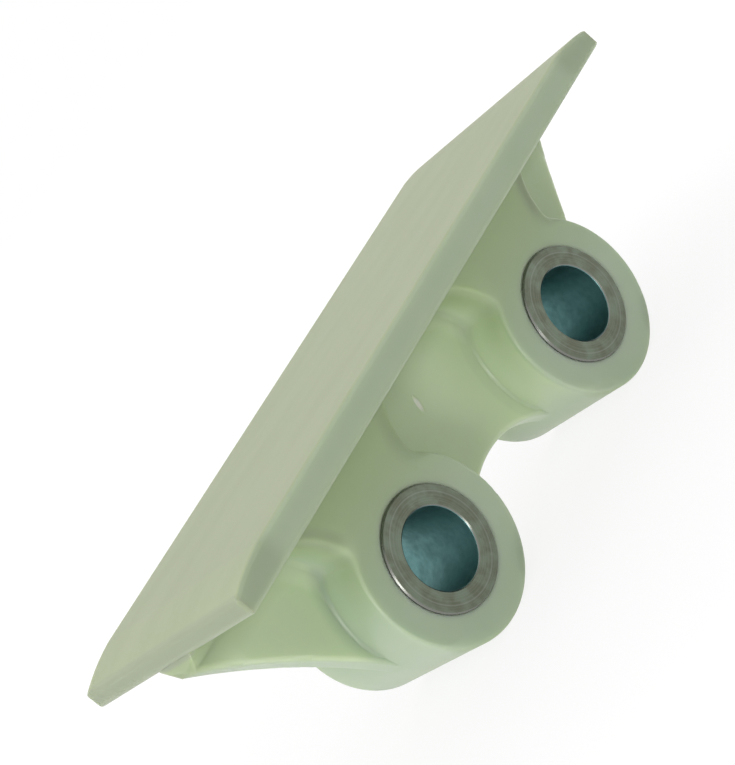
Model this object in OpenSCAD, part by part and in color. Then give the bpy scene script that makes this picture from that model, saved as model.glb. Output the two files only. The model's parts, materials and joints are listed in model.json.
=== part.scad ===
// Timing chain guide: a moulded nylon rail on two bolt bosses, each lined with a steel bush.
// X runs along the rail, Y along the bolts and Z out through the running face.
// The origin is midway between the two bolt axes, on the rail's mid-plane.

/* [Plate] */
// Length of the running face, tip to tip
rail_len = 80.7; // [76:0.1:95]
// Width of the running face
rail_w = 30.9; // [24:0.1:45]
// Thickness of the plate
rail_t = 3.2; // [2.8:0.05:4]
// Height of the running face above the bolt axes
face_h = 17.3; // [16.5:0.1:22]
// Length of the curved lead-in at each end
lead_len = 7; // [5:0.5:10]
// Fall of the running face at each tip
lead_drop = 1.1; // [0.6:0.1:1.3]
// Rounding of the plate's long edges
plate_edge_r = 0.5; // [0.3:0.1:0.8]
// Rounding of the plate's tips, seen from the side
tip_r = 0.7; // [0.3:0.1:0.7]
// Rounding of the plate's four corners in plan
plate_corner_r = 0.6; // [0.4:0.1:3]

/* [Web] */
// Thickness of the web under the plate
web_t = 2.8; // [2.2:0.1:5]
// Height of the web's square tip below the plate
web_tip_h = 1.7; // [1.7:0.1:3]
// Setback of the web's tip from the plate's end
web_setback = 0.2; // [0.1:0.1:2]
// Radius of the hollow edge that runs from each tip down to its boss
web_hollow_r = 85; // [50:1:120]
// Radius of the hollow edge between the bosses
web_valley_r = 13; // [11:0.1:20]
// Rounding of the web's hollow edges
web_edge_r = 0.5; // [0.3:0.1:0.9]
// Width of the slope that joins each side of the web to the plate's back
web_slope = 1.6; // [0.8:0.1:1.6]

/* [Bosses] */
// Distance between the two bolt axes
bolt_pitch = 34.6; // [32:0.1:40]
// Outside diameter of a boss
boss_od = 19.6; // [18:0.1:21]
// Length of a boss along its bolt
boss_len = 14.8; // [12:0.1:20]
// Rounding of the end edges of the bosses and pillars
boss_edge_r = 0.3; // [0.2:0.1:1]
// Width of the pillar that carries the plate, at its waist
pillar_w = 13.4; // [12:0.1:15]
// Radius of the pillar's flare into the plate
flare_r = 8; // [6.5:0.1:8.5]
// Blend in the waist, between the boss and the flare
waist_r = 1.5; // [1:0.1:2.5]
// Setback of the pillar's faces from the boss's end faces
pillar_setback = 0.01; // [0.01:0.01:0.3]
// Fillet where the bosses and pillars rise from the web
root_r = 0.6; // [0.3:0.1:0.9]

/* [Bushes] */
// Outside diameter of a bush
bush_od = 13; // [11:0.1:14]
// Bore of a bush, a clear hole for the bolt
bush_bore = 8.4; // [6.4:0.1:9]
// How far a bush stands out of each end of its boss
bush_proud = 0.3; // [0.1:0.05:0.8]
// Chamfer on a bush's four edges
bush_chamfer = 0.35; // [0.1:0.05:0.5]
// Gap around a bush in its seat, none on a moulded-in bush
bush_gap = 0; // [0:0.01:0.1]

/* [Hidden] */
$fn = 96;
// Blends run this far past tangency, so that they meet a wall at a slight angle
past = 0.05;
// Cutters reach this far outside what they cut
spare = 1;
plate_back = face_h - rail_t;
plate_mid = face_h - rail_t / 2;
lead_r = (lead_len ^ 2 + lead_drop ^ 2) / (2 * lead_drop);
// The lead-in starts this far above the flat face, which trims it to a clean line
lead_lift = 0.03;
lead_axis = [rail_len / 2 - lead_len, face_h - lead_r + lead_lift];
tip_x = rail_len / 2 - tip_r;
tip_top = [tip_x, lead_axis[1] + sqrt((lead_r - tip_r) ^ 2 - (tip_x - lead_axis[0]) ^ 2)];
tip_back = [tip_x, plate_back + tip_r];
boss_x = bolt_pitch / 2;
boss_r = boss_od / 2;
pillar_len = boss_len - 2 * pillar_setback;
bush_len = boss_len + 2 * bush_proud;
boss_axis = [boss_x, 0];
web_tip = [rail_len / 2 - web_setback, plate_back - web_tip_h];
hollow_axis = lower_crossing(boss_axis, boss_r + web_hollow_r - past, web_tip, web_hollow_r);
hollow_foot = boss_axis + boss_r * unit(hollow_axis - boss_axis);
valley_axis = [0, -sqrt((boss_r + web_valley_r - past) ^ 2 - boss_x ^ 2)];
valley_foot = boss_axis + boss_r * unit(valley_axis - boss_axis);
flare_axis = [pillar_w / 2 + flare_r, plate_back - flare_r + past];
waist_axis = upper_crossing([0, 0], boss_r + waist_r - past, flare_axis, flare_r - waist_r + past);
waist_foot = boss_r * unit(waist_axis);
waist_head = flare_axis + flare_r * unit(waist_axis - flare_axis);

function unit(v) = v / norm(v);
function flip(p) = [-p[0], p[1]];

// The lower of the two points at radius ra from point a and radius rb from point b
function lower_crossing(a, ra, b, rb) =
    let (span = norm(b - a))
    let (along = (ra ^ 2 - rb ^ 2 + span ^ 2) / (2 * span))
    let (across = sqrt(ra ^ 2 - along ^ 2))
    let (dir = unit(b - a))
    a + along * dir + across * [dir[1], -dir[0]];

// The upper of those two points
function upper_crossing(a, ra, b, rb) =
    let (axis = unit(b - a))
    let (low = lower_crossing(a, ra, b, rb) - a)
    a + 2 * (low * axis) * axis - low;

module both_ends() {
    children();
    mirror([1, 0, 0]) children();
}

// A side view, drawn in X and Z, made into a block that is centred on the mid-plane
module along_y(length) {
    rotate([90, 0, 0]) linear_extrude(length, center = true) children();
}

// A cross-section, drawn in Y and Z, made into a bar that is centred on the origin
module along_x(length) {
    rotate([90, 0, 90]) linear_extrude(length, center = true) children();
}

// A section, drawn in radius and length, turned about a bolt axis
module about_y(at = [0, 0]) {
    translate([at[0], 0, at[1]]) rotate([90, 0, 0]) rotate_extrude() children();
}

module rounded_square(w, h, r) {
    square([w, h - 2 * r], center = true);
    square([w - 2 * r, h], center = true);
    for (x = [-1, 1], y = [-1, 1])
        translate([x * (w / 2 - r), y * (h / 2 - r)]) circle(r);
}

// The flare of a round cutter at the face of a wall of thickness t, which rounds the edge that it leaves
module flared_rim(r, t, edge_r) {
    translate([0, t / 2]) square([r + edge_r, spare]);
    difference() {
        translate([0, t / 2 - edge_r]) square([r + edge_r, edge_r]);
        translate([r + edge_r, t / 2 - edge_r]) circle(edge_r);
    }
}

// A round cutter that goes right through a wall and is flared at both of its faces
module hollow_cutter(at, r, t, edge_r) {
    about_y(at) {
        translate([0, -t / 2 - spare]) square([r, t + 2 * spare]);
        for (side = [0, 1]) mirror([0, side]) flared_rim(r, t, edge_r);
    }
}

// A round cutter for the two faces of a pillar. It stops just inside the web, where its rounded corner leaves
// a fillet, and it is flared at the pillar's face.
module pocket_cutter(at, r) {
    foot = web_t / 2 - past;
    top = pillar_len / 2 + spare;
    about_y(at) for (side = [0, 1]) mirror([0, side]) {
        translate([0, foot]) square([r - root_r, top - foot]);
        translate([0, foot + root_r]) square([r, top - foot - root_r]);
        translate([r - root_r, foot + root_r]) circle(root_r);
        flared_rim(r, pillar_len, boss_edge_r);
    }
}

// One end of the plate in side view, up to a rounded tip
module tip_side() {
    past_tip = lead_axis + (lead_r + spare) * unit(tip_top - lead_axis);
    polygon([
        [-spare, 0], [tip_x, 0], tip_top, past_tip, [past_tip[0], face_h + spare], [-spare, face_h + spare]
    ]);
    translate([tip_x - tip_r, tip_back[1]]) square([2 * tip_r, tip_top[1] - tip_back[1]]);
    translate(tip_top) circle(tip_r);
    translate(tip_back) circle(tip_r);
}

// The lead-in at one end is part of a large disc, whose rim is rounded as the plate's long edges are
module lead_in() {
    about_y(lead_axis) intersection() {
        rounded_square(2 * lead_r, rail_w, plate_edge_r);
        translate([0, -rail_w]) square([lead_r, 2 * rail_w]);
    }
}

module plate() {
    intersection() {
        along_x(rail_len + 2 * spare) translate([0, plate_mid]) rounded_square(rail_w, rail_t, plate_edge_r);
        union() {
            along_y(rail_w + 2 * spare) translate([-lead_axis[0], 0]) square([2 * lead_axis[0], face_h + spare]);
            both_ends() lead_in();
        }
        along_y(rail_w + 2 * spare) both_ends() tip_side();
        linear_extrude(face_h + spare) rounded_square(rail_len + 2 * past, rail_w + 2 * past, plate_corner_r);
    }
}

// The web's side view before its edges are hollowed
module web_side() {
    polygon([
        [-web_tip[0], plate_mid], flip(web_tip), flip(hollow_foot), flip(boss_axis), flip(valley_foot),
        valley_foot, boss_axis, hollow_foot, web_tip, [web_tip[0], plate_mid]
    ]);
}

// The web fills the mid-plane from tip to tip, down to the bosses
module web() {
    difference() {
        intersection() {
            along_y(web_t) web_side();
            linear_extrude(2 * (face_h + boss_r), center = true)
                rounded_square(2 * web_tip[0], web_t + 2 * past, web_edge_r + past);
        }
        both_ends() hollow_cutter(hollow_axis, web_hollow_r, web_t, web_edge_r);
        hollow_cutter(valley_axis, web_valley_r, web_t, web_edge_r);
    }
}

// A fillet follows each boss around, as far as the web's flat faces reach
module boss_root() {
    reach = boss_r + root_r - past;
    top = web_t / 2 + root_r - past;
    intersection() {
        about_y(boss_axis) difference() {
            translate([0, -top]) square([reach, 2 * top]);
            for (y = [-top, top]) translate([reach, y]) circle(root_r);
        }
        along_y(2 * top + spare) difference() {
            web_side();
            both_ends() translate(hollow_axis) circle(web_hollow_r + web_edge_r, $fn = 256);
            translate(valley_axis) circle(web_valley_r + web_edge_r);
        }
    }
}

// The web thickens into the plate's back along its whole length
module web_foot() {
    reach = web_t / 2 + web_slope;
    along_x(2 * web_tip[0]) polygon([
        [-reach, plate_mid], [-reach, plate_back], [-web_t / 2 + past, plate_back - web_slope - past],
        [web_t / 2 - past, plate_back - web_slope - past], [reach, plate_back], [reach, plate_mid]
    ]);
}

module boss() {
    about_y(boss_axis) intersection() {
        rounded_square(boss_od, boss_len, boss_edge_r);
        translate([0, -boss_len]) square([boss_od, 2 * boss_len]);
    }
}

// The pillar rises from its boss and flares into the plate's back on both sides
module pillar() {
    reach = flare_axis[0];
    difference() {
        along_y(pillar_len) translate([boss_x, 0]) {
            translate([-pillar_w / 2, 0]) square([pillar_w, plate_mid]);
            translate([-reach, flare_axis[1]]) square([2 * reach, plate_mid - flare_axis[1]]);
        }
        for (side = [-1, 1])
            pocket_cutter([boss_x + side * reach, flare_axis[1]], flare_r);
    }
}

// A fillet softens the crease where each side of the pillar leaves the boss
module waist() {
    translate([boss_x, 0, 0]) both_ends() difference() {
        along_y(pillar_len) polygon([[0, waist_axis[1]], waist_foot, waist_head]);
        pocket_cutter(waist_axis, waist_r);
    }
}

module guide_rail() {
    color("#dfe8d2") difference() {
        union() {
            plate();
            web();
            web_foot();
            both_ends() {
                boss();
                boss_root();
                pillar();
                waist();
            }
        }
        both_ends() about_y(boss_axis) translate([0, -boss_len]) square([bush_od / 2 + bush_gap, 2 * boss_len]);
    }
}

module bush() {
    wall = (bush_od - bush_bore) / 2;
    c = bush_chamfer;
    about_y(boss_axis) translate([bush_bore / 2, -bush_len / 2]) polygon([
        [c, 0], [wall - c, 0], [wall, c], [wall, bush_len - c],
        [wall - c, bush_len], [c, bush_len], [0, bush_len - c], [0, c]
    ]);
}

module left_bush() {
    color("#8d8a84") mirror([1, 0, 0]) bush();
}

module right_bush() {
    color("#8d8a84") bush();
}

guide_rail();
left_bush();
right_bush();
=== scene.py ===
# %% [markdown]
# # A timing chain guide
# A chain guide is a slipper that steadies the straight run of an engine's timing chain. This one is a single
# nylon moulding with two steel bushes, which let the bolts clamp hard without crushing the plastic.
# The solids come ready made and to size, so this lesson is about what makes them look real: turned steel,
# nylon that lets light in, and the plain light of a white studio.

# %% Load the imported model
import json
import math

import bpy
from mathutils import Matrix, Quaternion, Vector


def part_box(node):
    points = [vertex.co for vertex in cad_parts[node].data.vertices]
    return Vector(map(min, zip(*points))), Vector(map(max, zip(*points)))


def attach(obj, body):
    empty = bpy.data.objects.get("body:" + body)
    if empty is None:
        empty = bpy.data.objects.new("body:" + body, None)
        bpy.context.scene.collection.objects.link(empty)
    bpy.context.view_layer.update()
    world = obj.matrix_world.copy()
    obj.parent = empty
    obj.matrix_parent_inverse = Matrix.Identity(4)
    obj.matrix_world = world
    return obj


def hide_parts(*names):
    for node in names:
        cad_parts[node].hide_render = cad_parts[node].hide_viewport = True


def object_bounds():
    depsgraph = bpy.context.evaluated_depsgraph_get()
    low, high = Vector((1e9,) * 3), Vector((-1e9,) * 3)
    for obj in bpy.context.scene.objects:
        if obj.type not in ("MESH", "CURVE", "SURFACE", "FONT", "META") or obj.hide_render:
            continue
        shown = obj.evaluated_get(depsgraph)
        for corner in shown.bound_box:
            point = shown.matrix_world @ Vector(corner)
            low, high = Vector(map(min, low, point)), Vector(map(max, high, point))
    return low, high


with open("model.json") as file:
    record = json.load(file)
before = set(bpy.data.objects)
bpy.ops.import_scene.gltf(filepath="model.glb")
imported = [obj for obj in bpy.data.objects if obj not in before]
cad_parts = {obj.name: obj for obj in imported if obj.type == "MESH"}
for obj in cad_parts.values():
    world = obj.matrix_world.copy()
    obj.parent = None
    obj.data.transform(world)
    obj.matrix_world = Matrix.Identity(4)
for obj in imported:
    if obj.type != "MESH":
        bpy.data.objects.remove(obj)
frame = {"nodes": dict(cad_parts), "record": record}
cad_low, cad_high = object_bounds()
MM = 0.001
print("nodes:", sorted(frame["nodes"]))
print("box in mm:", [round(side / MM, 2) for side in cad_high - cad_low])

# %% [markdown]
# The frame tells us where the bushes are, so nothing is measured twice. A mount in the record gives the bore
# and the place of its axis, and the box of the bush gives its length and its outside radius.

# %% Read the sizes of the bushes
mounts = {mount["name"]: mount for mount in frame["record"]["mounts"]}
bush_x = mounts["right_bore"]["pos_m"][0]
bore_r = mounts["right_bore"]["dims"]["r_mm"] * MM
bush_low, bush_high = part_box("right_bush")
bush_len = bush_high.y - bush_low.y
bush_r = bush_high.x - bush_x
print("bush bore and outside in mm:", round(2 * bore_r / MM, 2), round(2 * bush_r / MM, 2))
print("bush length in mm:", round(bush_len / MM, 2))

# %% [markdown]
# ## The bushes
# A bush is turned on a lathe from steel tube, so we turn it too. The section of its wall is a plane with
# its corners cut off, and spinning the outline of that section about the bolt axis makes the whole bush.
# The lathe leaves no edge perfectly sharp. A narrow bevel on each edge gives it something to catch the light
# with, which is most of what tells the eye that it is looking at metal.

# %% Turn the two bushes
BUSH_CHAMFER = 0.2 * MM
EDGE_BREAK = 0.05 * MM
BREAK_SEGMENTS = 2
SPIN_STEPS = 160
MERGE_DISTANCE = 0.001 * MM
SHARP_ANGLE = math.radians(30)
SMOOTH_ANGLE = math.radians(10)


def turn_bush(name, axis_x):
    wall = bush_r - bore_r
    bpy.ops.object.select_all(action="DESELECT")
    bpy.ops.mesh.primitive_plane_add(size=1, location=(axis_x + bore_r + wall / 2, 0, 0))
    bush = bpy.context.object
    bush.name = name
    bush.scale = (wall, bush_len, 1)
    bpy.ops.object.transform_apply(location=True, rotation=True, scale=True)

    bpy.ops.object.mode_set(mode="EDIT")
    bpy.ops.mesh.select_all(action="SELECT")
    bpy.ops.mesh.bevel(offset=BUSH_CHAMFER, segments=1, affect="VERTICES")
    bpy.ops.mesh.delete(type="ONLY_FACE")
    bpy.ops.mesh.select_all(action="SELECT")
    bpy.ops.mesh.spin(steps=SPIN_STEPS, angle=math.tau, center=(axis_x, 0, 0), axis=(0, 1, 0))
    bpy.ops.mesh.select_all(action="SELECT")
    bpy.ops.mesh.remove_doubles(threshold=MERGE_DISTANCE)
    bpy.ops.mesh.normals_make_consistent(inside=False)

    bpy.ops.mesh.select_all(action="DESELECT")
    bpy.ops.mesh.edges_select_sharp(sharpness=SHARP_ANGLE)
    bpy.ops.mesh.bevel(offset=EDGE_BREAK, segments=BREAK_SEGMENTS, affect="EDGES")
    bpy.ops.object.mode_set(mode="OBJECT")
    bpy.ops.object.shade_smooth_by_angle(angle=SMOOTH_ANGLE)
    return bush


bushes = {}
for side, node in ((-1, "left_bush"), (1, "right_bush")):
    bush = turn_bush(node + "_turned", side * bush_x)
    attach(bush, "root")
    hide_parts(node)
    bushes[node] = bush
    print(bush.name, "has", len(bush.data.polygons), "faces")

# %% [markdown]
# ## Small helpers for materials
# Every finish here is built from nodes, and the same steps come back each time: start a material, add a
# node, and link two sockets. Helpers for them keep the recipes short.

# %% Start materials and add nodes


def fill(tree, socket, value):
    if isinstance(value, bpy.types.NodeSocket):
        tree.links.new(value, socket)
    else:
        socket.default_value = value


def new_material(name):
    material = bpy.data.materials.new(name)
    material.use_nodes = True
    nodes = material.node_tree.nodes
    nodes.clear()
    output = nodes.new("ShaderNodeOutputMaterial")
    shader = nodes.new("ShaderNodeBsdfPrincipled")
    material.node_tree.links.new(shader.outputs["BSDF"], output.inputs["Surface"])
    return material, shader


def add_node(tree, kind, settings=None, **inputs):
    node = tree.nodes.new("ShaderNode" + kind)
    for key, value in (settings or {}).items():
        setattr(node, key, value)
    for key, value in inputs.items():
        fill(tree, node.inputs[key.replace("_", " ")], value)
    return node


def mix_colours(tree, factor, first, second):
    node = add_node(tree, "Mix", {"data_type": "RGBA"}, Factor=factor)
    ends = [socket for socket in node.inputs if socket.type == "RGBA"]
    for socket, value in zip(ends, (first, second)):
        fill(tree, socket, value)
    return next(socket for socket in node.outputs if socket.type == "RGBA")


helpers = (fill, new_material, add_node, mix_colours)
print("helpers:", ", ".join(helper.__name__ for helper in helpers))

# %% [markdown]
# A mask says how much of something is at a place, from 0 to 1. Most masks here are a smooth step along one
# length, which rises or falls between two marks in millimetres. Patterns and masks read Object coordinates,
# which are metres in the part's own frame, so a noise scale of 1000 gives features of about 1 mm.

# %% Measure places and make masks


def math_node(tree, operation, *values):
    node = add_node(tree, "Math", {"operation": operation})
    for socket, value in zip(node.inputs, values):
        fill(tree, socket, value)
    return node.outputs[0]


def chain(tree, operation, first, *others):
    for other in others:
        first = math_node(tree, operation, first, other)
    return first


def remap(tree, value, low, high, to_low, to_high):
    node = add_node(tree, "MapRange", {"interpolation_type": "SMOOTHSTEP"}, Value=value)
    for key, number in (("From Min", low), ("From Max", high), ("To Min", to_low), ("To Max", to_high)):
        node.inputs[key].default_value = number
    return node.outputs["Result"]


def rise(tree, length, start, end, top=1):
    return remap(tree, length, start * MM, end * MM, 0, top)


def fall(tree, length, start, end, top=1, bottom=0):
    return remap(tree, length, start * MM, end * MM, top, bottom)


def near(tree, length, middle, start, end, top=1):
    away = math_node(tree, "ABSOLUTE", math_node(tree, "SUBTRACT", length, middle * MM))
    return fall(tree, away, start, end, top)


def folded_place(tree, place):
    return add_node(tree, "VectorMath", {"operation": "ABSOLUTE"}, Vector=place).outputs["Vector"]


def distance_from(tree, place, x, z):
    axes = add_node(tree, "SeparateXYZ", Vector=place).outputs
    across = math_node(tree, "POWER", math_node(tree, "SUBTRACT", axes["X"], x), 2)
    up = math_node(tree, "POWER", math_node(tree, "SUBTRACT", axes["Z"], z), 2)
    return math_node(tree, "SQRT", math_node(tree, "ADD", across, up))


print("masks are placed from the bolt axes at x =", round(bush_x / MM, 2), "mm")

# %% [markdown]
# Nothing real is one flat colour. Both finishes below are uneven in the same way, at different sizes, so the
# unevenness is a node group of its own: a soft-edged noise that goes from 0 to 1.

# %% Make the shared mottle group
MOTTLE_SCALE = 100
MOTTLE_DETAIL = 3
MOTTLE_ROUGHNESS = 0.55
MOTTLE_EDGES = (0.3, 0.7)


def mottle_group():
    group = bpy.data.node_groups.new("mottle", "ShaderNodeTree")
    scale = group.interface.new_socket("Scale", in_out="INPUT", socket_type="NodeSocketFloat")
    scale.default_value = MOTTLE_SCALE
    group.interface.new_socket("Mask", in_out="OUTPUT", socket_type="NodeSocketFloat")
    entry = group.nodes.new("NodeGroupInput")
    place = add_node(group, "TexCoord").outputs["Object"]
    noise = add_node(
        group, "TexNoise",
        Vector=place, Scale=entry.outputs["Scale"], Detail=MOTTLE_DETAIL, Roughness=MOTTLE_ROUGHNESS,
    )
    leave = group.nodes.new("NodeGroupOutput")
    group.links.new(remap(group, noise.outputs["Fac"], *MOTTLE_EDGES, 0, 1), leave.inputs["Mask"])
    return group


mottle = mottle_group()


def add_mottle(tree, scale):
    node = tree.nodes.new("ShaderNodeGroup")
    node.node_tree = mottle
    node.inputs["Scale"].default_value = scale
    return node.outputs["Mask"]


print("mottle has", len(mottle.nodes), "nodes")

# %% [markdown]
# ## Nylon
# Natural nylon is milky: light goes a few millimetres into it and comes out tinted. So the skin is a pale
# grey-green with subsurface scattering, and its colour changes with the place, as on the real moulding; some
# of these changes are painted light and shade. To know the place, we measure lengths from the middle of the
# part. Both ends and both sides are alike, so x, y and z are taken without their signs, and one measure
# serves all four corners.

# %% Find places on the moulding
PLATE_START = (13.6, 14.1)
FLARE_R = 8
INNER_FLARE = (2.6, 6.1)
OUTER_FLARE = (32, 6.1)
FACING_UP = (0.6, 0.95)


def moulding_places(tree):
    coordinates = add_node(tree, "TexCoord").outputs
    folded = folded_place(tree, coordinates["Object"])
    axes = add_node(tree, "SeparateXYZ", Vector=folded).outputs
    inner_x, inner_z = INNER_FLARE
    outer_x, outer_z = OUTER_FLARE
    return {
        "place": coordinates["Object"],
        "along": axes["X"],
        "out": axes["Y"],
        "off_axis": axes["Z"],
        "height": add_node(tree, "SeparateXYZ", Vector=coordinates["Object"]).outputs["Z"],
        "upward": add_node(tree, "SeparateXYZ", Vector=coordinates["Normal"]).outputs["Z"],
        "boss": distance_from(tree, folded, bush_x, 0),
        "inner": distance_from(tree, folded, inner_x * MM, inner_z * MM),
        "outer": distance_from(tree, folded, outer_x * MM, outer_z * MM),
    }


print("the plate starts", PLATE_START[1], "mm above the bolt axes")

# %% [markdown]
# Thin nylon glows, because the light that goes in at the back comes out at the front. The web and the
# recess between the pillars get a lighter tone, which is painted light: the glow of the thin web and more
# light in the recess.

# %% Find the places of painted glow
WEB_FACE_FROM = (0.9, 1.3)
WEB_FACE_TO = (1.5, 2.4)
WEB_UP_TO = (11, 13)
OFF_THE_BOSS = (9.8, 11.8)
WEB_ENDS = (18, 28)
WEB_END_SHARE = 0.85
RECESS_ALONG = (10.5, 12)
RECESS_OUT = (6.6, 7.3)
RECESS_FROM = (-7, -2)
RECESS_SHARE = 0.8


def painted_glow_places(tree, at):
    below = fall(tree, at["off_axis"], *WEB_UP_TO)
    web = chain(
        tree, "MULTIPLY",
        rise(tree, at["out"], *WEB_FACE_FROM),
        fall(tree, at["out"], *WEB_FACE_TO),
        below,
        rise(tree, at["boss"], *OFF_THE_BOSS),
        fall(tree, at["along"], *WEB_ENDS, 1, WEB_END_SHARE),
    )
    recess = chain(
        tree, "MULTIPLY",
        fall(tree, at["along"], *RECESS_ALONG, RECESS_SHARE),
        fall(tree, at["out"], *RECESS_OUT),
        below,
        rise(tree, at["height"], *RECESS_FROM),
    )
    return math_node(tree, "MAXIMUM", web, recess)


print("the web glows from", OFF_THE_BOSS[1], "mm off the bolt axes")

# %% [markdown]
# Where light has to go deep it comes out olive. Here that olive is painted shade: in tight corners, which the
# Ambient Occlusion node finds, and more and more towards the plate, under its overhang, on the faces of the
# pillars and on the web.

# %% Find the places of painted shade
CORNER_REACH = 8 * MM
CORNER_SAMPLES = 8
CORNER_LIGHT = (0.05, 0.6)
CORNER_SHARE = 0.7
BY_THE_WEB = (2, 6)
FACE_RISE = (-2, 13.5)
CORNER_RISE = (8, 14)
OLIVE_SHARE = 0.95
WEB_TIP = (24, 31)
WEB_TIP_SHARE = 0.15
OVERHANG = (7.6, 9)


def painted_corner_shade(tree, at):
    corners = add_node(tree, "AmbientOcclusion", {"samples": CORNER_SAMPLES}, Distance=CORNER_REACH)
    tight = remap(tree, corners.outputs["AO"], *CORNER_LIGHT, CORNER_SHARE, 0)
    on_web = fall(tree, at["out"], *BY_THE_WEB)
    off_web = math_node(tree, "SUBTRACT", 1, on_web)
    faces = math_node(tree, "MULTIPLY", rise(tree, at["height"], *FACE_RISE, OLIVE_SHARE), off_web)
    corner = rise(tree, at["height"], *CORNER_RISE, OLIVE_SHARE)
    corner = math_node(tree, "MAXIMUM", corner, rise(tree, at["along"], *WEB_TIP, WEB_TIP_SHARE))
    under = chain(
        tree, "MULTIPLY",
        math_node(tree, "MULTIPLY_ADD", corner, on_web, faces),
        fall(tree, at["out"], *OVERHANG),
        fall(tree, at["height"], *PLATE_START),
    )
    return math_node(tree, "MAXIMUM", tight, under)


print("corners are felt from", CORNER_REACH / MM, "mm away")

# %% [markdown]
# Some edges get painted shade, so they look darker than the faces beside them: the rims of the outer flares,
# the lower lip of the plate, and the cut edges at its ends. The band is the range of heights in which the
# pillars flare out.

# %% Find the edges with painted shade
BAND_FROM = (4.5, 8)
BAND_TO = (13, 13.9)
RIM_R = 8.2
RIM_WIDTH = (0.4, 1.8)
RIM_SHARE = 0.6
RIM_FROM = (7.5, 9.5)
RIM_OUT = (4.5, 7)
LIP_OUT = (14.3, 15.1)
LIP_SHARE = 0.5
LIP_UP_TO = (14, 15)
CUT_FROM = (32.5, 35)
CUT_SHARE = 0.42


def flare_band(tree, at):
    return math_node(
        tree, "MULTIPLY",
        rise(tree, at["off_axis"], *BAND_FROM),
        fall(tree, at["off_axis"], *BAND_TO),
    )


def painted_edge_shade(tree, at):
    rim = chain(
        tree, "MULTIPLY",
        near(tree, at["outer"], RIM_R, *RIM_WIDTH, RIM_SHARE),
        rise(tree, at["height"], *RIM_FROM),
        flare_band(tree, at),
        rise(tree, at["out"], *RIM_OUT),
    )
    lip = chain(
        tree, "MULTIPLY",
        rise(tree, at["out"], *LIP_OUT, LIP_SHARE),
        fall(tree, at["height"], *LIP_UP_TO),
    )
    cut = chain(
        tree, "MULTIPLY",
        rise(tree, at["along"], *CUT_FROM, CUT_SHARE),
        remap(tree, at["upward"], *FACING_UP, 1, 0),
        rise(tree, at["height"], *PLATE_START),
    )
    return chain(tree, "MAXIMUM", rim, lip, cut)


print("the flares lie from", BAND_FROM[0], "to", BAND_TO[1], "mm above the bolt axes")

# %% [markdown]
# The edges of a moulded flare melt into its walls, while those of the solid are crisp. The Bevel node
# rounds only the way that light falls on an edge, so the mesh stays as it is. Its radius is large on the
# flares and small at the rims and roots of the bosses, where the round edge then draws a thin bright line.

# %% Round the edges in the light
FLARE_NEAR = (1.5, 4)
FLARE_ROUND = 4 * MM
BOSS_NEAR = (10.8, 12.8)
BOSS_ROUND = 0.25 * MM
ROUND_SAMPLES = 8


def round_edges(tree, at):
    flares = math_node(
        tree, "MAXIMUM",
        near(tree, at["inner"], FLARE_R, *FLARE_NEAR),
        near(tree, at["outer"], FLARE_R, *FLARE_NEAR),
    )
    flare_radius = chain(tree, "MULTIPLY", flares, flare_band(tree, at), FLARE_ROUND)
    boss_radius = fall(tree, at["boss"], *BOSS_NEAR, BOSS_ROUND)
    radius = math_node(tree, "MAXIMUM", flare_radius, boss_radius)
    return add_node(tree, "Bevel", {"samples": ROUND_SAMPLES}, Radius=radius).outputs["Normal"]


print("edges look round to", FLARE_ROUND / MM, "mm on the flares and", BOSS_ROUND / MM, "mm on the bosses")

# %% [markdown]
# Two marks tell how the part was made and what it is for. Where the mould's gate was broken off, on the near
# side of the web, a small torn stub is left. Its bump is real, and its near-white tone is a painted
# highlight.
# And the running face is duller than the rest, with faint scuffs along the way that the chain runs, so its
# noise is drawn out along x.

# %% Mark the gate and scuff the running face
NYLON_WORN = (0.48, 0.53, 0.315, 1)
NYLON_SCUFFED = (0.515, 0.562, 0.348, 1)
GATE_PLACE = Vector((-1.1, -1.4, 7.3)) * MM
GATE_HALF = Vector((0.42, 1, 1.2)) * MM
GATE_TURN = math.radians(18)
GATE_EDGE = (0.4, 1)
SCUFF_STRETCH = (0.3, 1, 1)
SCUFF_SCALE = 210
SCUFF_DETAIL = 3
SCUFF_ROUGHNESS = 0.6
SCUFF_EDGES = (0.35, 0.65)


def gate_mark(tree, place):
    oval = add_node(
        tree, "Mapping", {"vector_type": "TEXTURE"},
        Vector=place, Location=GATE_PLACE, Rotation=(0, GATE_TURN, 0), Scale=GATE_HALF,
    )
    reach = add_node(tree, "VectorMath", {"operation": "LENGTH"}, Vector=oval.outputs["Vector"])
    return remap(tree, reach.outputs["Value"], *GATE_EDGE, 1, 0)


def scuffed_tone(tree, place):
    drawn = add_node(tree, "Mapping", Vector=place, Scale=SCUFF_STRETCH).outputs["Vector"]
    noise = add_node(
        tree, "TexNoise",
        Vector=drawn, Scale=SCUFF_SCALE, Detail=SCUFF_DETAIL, Roughness=SCUFF_ROUGHNESS,
    )
    scuff = remap(tree, noise.outputs["Fac"], *SCUFF_EDGES, 0, 1)
    return mix_colours(tree, scuff, NYLON_WORN, NYLON_SCUFFED)


print("gate mark in mm:", [round(2 * half / MM, 2) for half in (GATE_HALF.x, GATE_HALF.z)])

# %% [markdown]
# Now the nylon is put together. Slow clouds of colour and a very fine grain keep the large faces from
# looking painted, and the tones for each kind of place are laid over them one by one. The worn face is also
# rougher, so it shines less. Light scatters over 1 to 2 mm, about as far as the web is thick.

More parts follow.
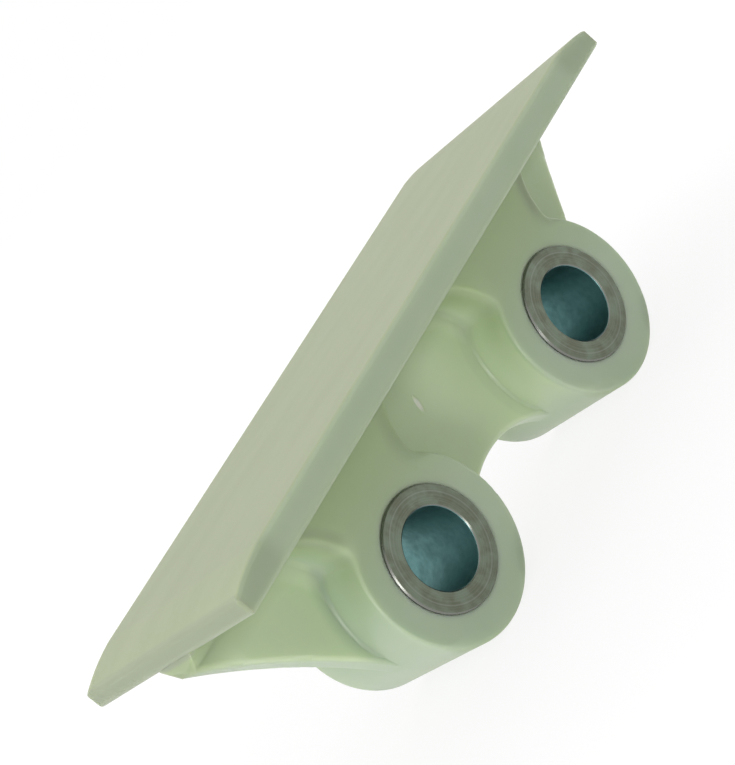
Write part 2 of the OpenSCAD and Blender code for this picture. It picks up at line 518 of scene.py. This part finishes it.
# %% Make the nylon
NYLON_PALE = (0.545, 0.635, 0.475, 1)
NYLON_GREEN = (0.495, 0.61, 0.44, 1)
NYLON_PLATE = (0.47, 0.555, 0.39, 1)
NYLON_PAINTED_GLOW = (0.68, 0.785, 0.55, 1)
NYLON_END_SHADE = (0.41, 0.455, 0.325, 1)
NYLON_OLIVE_SHADE = (0.42, 0.52, 0.285, 1)
NYLON_SHADE = (0.32, 0.38, 0.24, 1)
NYLON_TORN_HIGHLIGHT = (0.95, 0.97, 0.86, 1)
CLOUD_SCALE = 90
GRAIN_SCALE = 2600
PLATE_SHARE = 0.7
WORN_SHARE = 0.65
PLATE_END = (39.4, 40.2)
NYLON_ROUGHNESS = 0.29
GRAIN_ROUGHNESS = 0.06
WORN_ROUGHNESS = 0.4
GRAIN_STRENGTH = 0.05
GRAIN_HEIGHT = 0.02 * MM
GATE_STRENGTH = 0.8
GATE_HEIGHT = 0.25 * MM
NYLON_IOR = 1.53
SCATTER_RADIUS = (1.0, 1.0, 0.8)
SCATTER_SCALE = 1.5 * MM


def nylon_finish():
    material, shader = new_material("natural_nylon")
    tree = material.node_tree
    at = moulding_places(tree)
    grain = add_mottle(tree, GRAIN_SCALE)
    worn = remap(tree, at["upward"], *FACING_UP, 0, WORN_SHARE)
    gate = gate_mark(tree, at["place"])

    colour = mix_colours(tree, add_mottle(tree, CLOUD_SCALE), NYLON_PALE, NYLON_GREEN)
    for mask, tone in (
        (rise(tree, at["height"], *PLATE_START, PLATE_SHARE), NYLON_PLATE),
        (worn, scuffed_tone(tree, at["place"])),
        # painted light: a lighter tone on the web and in the recess
        (painted_glow_places(tree, at), NYLON_PAINTED_GLOW),
        # painted shade: a darker tone on the ends of the plate
        (rise(tree, at["along"], *PLATE_END), NYLON_END_SHADE),
        # painted shade: olive in tight corners and under the plate
        (painted_corner_shade(tree, at), NYLON_OLIVE_SHADE),
        # painted shade on some edges
        (painted_edge_shade(tree, at), NYLON_SHADE),
        # the gate stub, with a painted highlight in its near-white tone
        (gate, NYLON_TORN_HIGHLIGHT),
    ):
        colour = mix_colours(tree, mask, colour, tone)
    tree.links.new(colour, shader.inputs["Base Color"])

    sheen = math_node(tree, "MULTIPLY_ADD", grain, GRAIN_ROUGHNESS, NYLON_ROUGHNESS)
    sheen = math_node(tree, "MULTIPLY_ADD", worn, WORN_ROUGHNESS, sheen)
    tree.links.new(sheen, shader.inputs["Roughness"])
    normal = round_edges(tree, at)
    for height, strength, distance in (
        (grain, GRAIN_STRENGTH, GRAIN_HEIGHT),
        (gate, GATE_STRENGTH, GATE_HEIGHT),
    ):
        bump = add_node(tree, "Bump", Strength=strength, Distance=distance, Height=height, Normal=normal)
        normal = bump.outputs["Normal"]
    tree.links.new(normal, shader.inputs["Normal"])

    shader.inputs["IOR"].default_value = NYLON_IOR
    shader.inputs["Subsurface Weight"].default_value = 1.0
    shader.inputs["Subsurface Radius"].default_value = SCATTER_RADIUS
    shader.inputs["Subsurface Scale"].default_value = SCATTER_SCALE
    return material


nylon = nylon_finish()
moulding = frame["nodes"]["guide_rail"]
moulding.data.materials.clear()
moulding.data.materials.append(nylon)
print("nylon has", len(nylon.node_tree.nodes), "nodes")

# %% [markdown]
# ## Steel
# The tool leaves fine rings on a turned face, so the pattern follows the distance from the bolt axis. Both
# axes are the same distance from the middle of the part, so one formula with |x| serves both bushes. The
# face is dull and brownish in patches, with one lighter groove, and its edges are brighter and smoother.
# Inside, zinc plate turns the bore blue-green.

# %% Find the rings, edges and bore of a bush
RING_SCALE = 5200
RING_DETAIL = 3
RING_ROUGHNESS = 0.6
RING_EDGES = (0.35, 0.7)
EDGE_BLEND = 0.08 * MM
BORE_SKIN = (0.02 * MM, 0.08 * MM)


def turned_rings(tree, radius):
    noise = add_node(
        tree, "TexNoise", {"noise_dimensions": "1D"},
        W=radius, Scale=RING_SCALE, Detail=RING_DETAIL, Roughness=RING_ROUGHNESS,
    )
    return remap(tree, noise.outputs["Fac"], *RING_EDGES, 0, 1)


def bush_edges(tree, radius):
    inner = bore_r + BUSH_CHAMFER
    outer = bush_r - BUSH_CHAMFER
    return math_node(
        tree, "MAXIMUM",
        remap(tree, radius, inner - EDGE_BLEND, inner, 1, 0),
        remap(tree, radius, outer, outer + EDGE_BLEND, 0, 1),
    )


def bore_wall(tree, radius):
    start, end = BORE_SKIN
    return remap(tree, radius, bore_r + start, bore_r + end, 1, 0)


print("turned face in mm:", [round(r / MM, 2) for r in (bore_r + BUSH_CHAMFER, bush_r - BUSH_CHAMFER)])

# %% [markdown]
# The steel is put together like the nylon. It is metal all over, so its colour tints what it mirrors, and
# the white studio shows in it at about the tones written here.

# %% Make the steel
STEEL_GREY = (0.168, 0.205, 0.154, 1)
STEEL_BROWN = (0.137, 0.152, 0.108, 1)
STEEL_BRIGHT = (0.31, 0.325, 0.295, 1)
EDGE_BRIGHT = (0.22, 0.225, 0.205, 1)
ZINC_TEAL = (0.15, 0.307, 0.302, 1)
ZINC_DARK = (0.12, 0.264, 0.26, 1)
PATCH_SCALE = 700
SPECK_SCALE = 1500
RING_SHARE = 0.15
GROOVE_R = 5.65
GROOVE_WIDTH = (0, 0.09)
GROOVE_SHARE = 0.35
STEEL_ROUGHNESS = 0.40
PATCH_ROUGHNESS = 0.12
EDGE_POLISH = 0.2
RING_STRENGTH = 0.25
RING_HEIGHT = 0.008 * MM


def steel_finish():
    material, shader = new_material("turned_steel")
    tree = material.node_tree
    place = add_node(tree, "TexCoord").outputs["Object"]
    radius = distance_from(tree, folded_place(tree, place), bush_x, 0)
    ring = turned_rings(tree, radius)
    edge = bush_edges(tree, radius)
    inside = bore_wall(tree, radius)
    patch = add_mottle(tree, PATCH_SCALE)

    plated = mix_colours(tree, add_mottle(tree, SPECK_SCALE), ZINC_TEAL, ZINC_DARK)
    colour = mix_colours(tree, patch, STEEL_GREY, STEEL_BROWN)
    for mask, tone in (
        (math_node(tree, "MULTIPLY", ring, RING_SHARE), STEEL_BRIGHT),
        (near(tree, radius, GROOVE_R, *GROOVE_WIDTH, GROOVE_SHARE), STEEL_BRIGHT),
        (edge, EDGE_BRIGHT),
        (inside, plated),
    ):
        colour = mix_colours(tree, mask, colour, tone)
    tree.links.new(colour, shader.inputs["Base Color"])

    dull = math_node(tree, "MULTIPLY_ADD", patch, PATCH_ROUGHNESS, STEEL_ROUGHNESS)
    polished = math_node(tree, "MAXIMUM", math_node(tree, "SUBTRACT", edge, inside), 0)
    dull = math_node(tree, "SUBTRACT", dull, math_node(tree, "MULTIPLY", polished, EDGE_POLISH))
    tree.links.new(dull, shader.inputs["Roughness"])
    bump = add_node(tree, "Bump", Strength=RING_STRENGTH, Distance=RING_HEIGHT, Height=ring)
    tree.links.new(bump.outputs["Normal"], shader.inputs["Normal"])
    shader.inputs["Metallic"].default_value = 1.0
    return material


steel = steel_finish()
for bush in bushes.values():
    bush.data.materials.append(steel)
print("steel has", len(steel.node_tree.nodes), "nodes")

# %% [markdown]
# ## The studio
# A small part is usually photographed in a tent of white cloth with an opening in front. So the light of the
# world is brightest overhead, weaker at the sides, and dim on the side of the opening. That is why the faces
# that look at us are darker than those that look sideways. The camera sees plain white instead, and so does
# whatever mirrors the room or lets it through.

# %% Make the world
ROOF_LIGHT = 0.95
SIDE_LIGHT = 0.6
ROOF_RISE = (0, 0.8)
OPENING = (0.5, -0.85, 0.05)
OPENING_SHARE = 0.32
OPENING_SPREAD = (-0.2, 0.9)
WHITE = (1, 1, 1, 1)


def sees_white(tree):
    path = add_node(tree, "LightPath").outputs
    return chain(tree, "MAXIMUM", path["Is Camera Ray"], path["Is Glossy Ray"], path["Is Transmission Ray"])


def tent_world():
    world = bpy.data.worlds.new("white_tent")
    bpy.context.scene.world = world
    world.use_nodes = True
    tree = world.node_tree
    tree.nodes.clear()
    direction = add_node(tree, "TexCoord").outputs["Generated"]
    towards = add_node(tree, "VectorMath", {"operation": "DOT_PRODUCT"}, Vector=direction)
    towards.inputs[1].default_value = Vector(OPENING).normalized()
    upward = add_node(tree, "SeparateXYZ", Vector=direction).outputs["Z"]
    roof = remap(tree, upward, *ROOF_RISE, SIDE_LIGHT, ROOF_LIGHT)
    open_share = remap(tree, towards.outputs["Value"], *OPENING_SPREAD, 1, OPENING_SHARE)
    cloth = add_node(tree, "Background", Color=WHITE, Strength=math_node(tree, "MULTIPLY", roof, open_share))
    ground = add_node(tree, "Background", Color=WHITE, Strength=1.0)
    mix = add_node(tree, "MixShader", Fac=sees_white(tree))
    tree.links.new(cloth.outputs[0], mix.inputs[1])
    tree.links.new(ground.outputs[0], mix.inputs[2])
    output = add_node(tree, "OutputWorld")
    tree.links.new(mix.outputs[0], output.inputs["Surface"])


tent_world()
print("world light from", SIDE_LIGHT, "at the sides to", ROOF_LIGHT, "overhead")

# %% [markdown]
# The floor is white paint that sends light back up under the part. Seen by the camera it is mostly a white
# glow, so that it runs into the white of the world. Close to the part some of the paint still shows, and
# with it the soft shadow that the part stands on.

# %% Lay the floor
FLOOR_SIDE = 3.0
FLOOR_PAINT = (0.9, 0.9, 0.9, 1)
FLOOR_GLOW = 1.08
SHADOW_SHARE = 0.22
SHADOW_FADE = (40, 120)
UNSEEN_SHARE = 0.8


def pale_floor():
    bpy.ops.object.select_all(action="DESELECT")
    bpy.ops.mesh.primitive_plane_add(size=FLOOR_SIDE, location=(0, 0, cad_low.z))
    floor = bpy.context.object
    floor.name = "floor"
    bpy.ops.object.transform_apply(location=True, rotation=True, scale=True)
    material = bpy.data.materials.new("white_floor")
    material.use_nodes = True
    tree = material.node_tree
    tree.nodes.clear()
    place = add_node(tree, "TexCoord").outputs["Object"]
    away = add_node(tree, "VectorMath", {"operation": "LENGTH"}, Vector=place).outputs["Value"]
    seen_share = fall(tree, away, *SHADOW_FADE, SHADOW_SHARE)
    share = add_node(tree, "Mix", Factor=sees_white(tree), A=UNSEEN_SHARE, B=seen_share)
    paint = add_node(tree, "BsdfDiffuse", Color=FLOOR_PAINT)
    glow = add_node(tree, "Emission", Strength=FLOOR_GLOW)
    look = add_node(tree, "MixShader", Fac=share.outputs["Result"])
    tree.links.new(glow.outputs[0], look.inputs[1])
    tree.links.new(paint.outputs[0], look.inputs[2])
    output = add_node(tree, "OutputMaterial")
    tree.links.new(look.outputs[0], output.inputs["Surface"])
    floor.data.materials.append(material)
    return floor


floor = pale_floor()
print(floor.name, "at", round(cad_low.z / MM, 2), "mm")

# %% [markdown]
# Two lamps add to the tent. The large one overhead lights the running face. The smaller one stands to the
# left, and it is what draws the bright lines on the rounded edges of the bosses and bushes.

# %% Hang the lamps
OVERHEAD_FROM = (-0.15, -0.1, 1)
OVERHEAD_DISTANCE = 0.6
OVERHEAD_SIDE = 0.5
OVERHEAD_POWER = 0.13
LEFT_FROM = (-0.85, -0.5, 0.13)
LEFT_DISTANCE = 0.5
LEFT_SIDE = 0.1
LEFT_POWER = 0.58
middle = (cad_low + cad_high) / 2


def soft_box(name, direction, distance, side, power):
    data = bpy.data.lights.new(name, "AREA")
    data.shape = "SQUARE"
    data.size = side
    data.energy = power
    lamp = bpy.data.objects.new(name, data)
    bpy.context.scene.collection.objects.link(lamp)
    towards = Vector(direction).normalized()
    lamp.location = middle + towards * distance
    lamp.rotation_mode = "QUATERNION"
    lamp.rotation_quaternion = towards.to_track_quat("Z", "Y")
    return lamp


overhead = soft_box("overhead", OVERHEAD_FROM, OVERHEAD_DISTANCE, OVERHEAD_SIDE, OVERHEAD_POWER)
left_side = soft_box("left_side", LEFT_FROM, LEFT_DISTANCE, LEFT_SIDE, LEFT_POWER)
print("lamps:", overhead.data.energy, "W overhead and", left_side.data.energy, "W at the left")

# %% [markdown]
# ## The camera
# The picture shows the part at a slant, so the camera is rolled. Azimuth, elevation and roll say how it looks
# at the part, and the lens gives its field of view on a 36 mm sensor.

# %% Set up the camera
VIEW_AZIMUTH = math.radians(-37.26)
VIEW_ELEVATION = math.radians(11.05)
VIEW_ROLL = math.radians(50.26)
VIEW_DISTANCE = 227.47 * MM
VIEW_TARGET = Vector((-0.35, 2.23, 11.98)) * MM
LENS = 106.3
CLIP_START = 10 * MM

back = Vector((
    math.sin(VIEW_AZIMUTH) * math.cos(VIEW_ELEVATION),
    -math.cos(VIEW_AZIMUTH) * math.cos(VIEW_ELEVATION),
    math.sin(VIEW_ELEVATION),
))
camera_data = bpy.data.cameras.new("camera")
camera_data.lens = LENS
camera_data.clip_start = CLIP_START
camera = bpy.data.objects.new("camera", camera_data)
bpy.context.scene.collection.objects.link(camera)
camera.rotation_mode = "QUATERNION"
camera.location = VIEW_TARGET + back * VIEW_DISTANCE
camera.rotation_quaternion = back.to_track_quat("Z", "Y") @ Quaternion((0, 0, 1), -VIEW_ROLL)
bpy.context.scene.camera = camera
bpy.context.scene.view_settings.view_transform = "Standard"
print("camera at", [round(value / MM, 1) for value in camera.location], "mm")
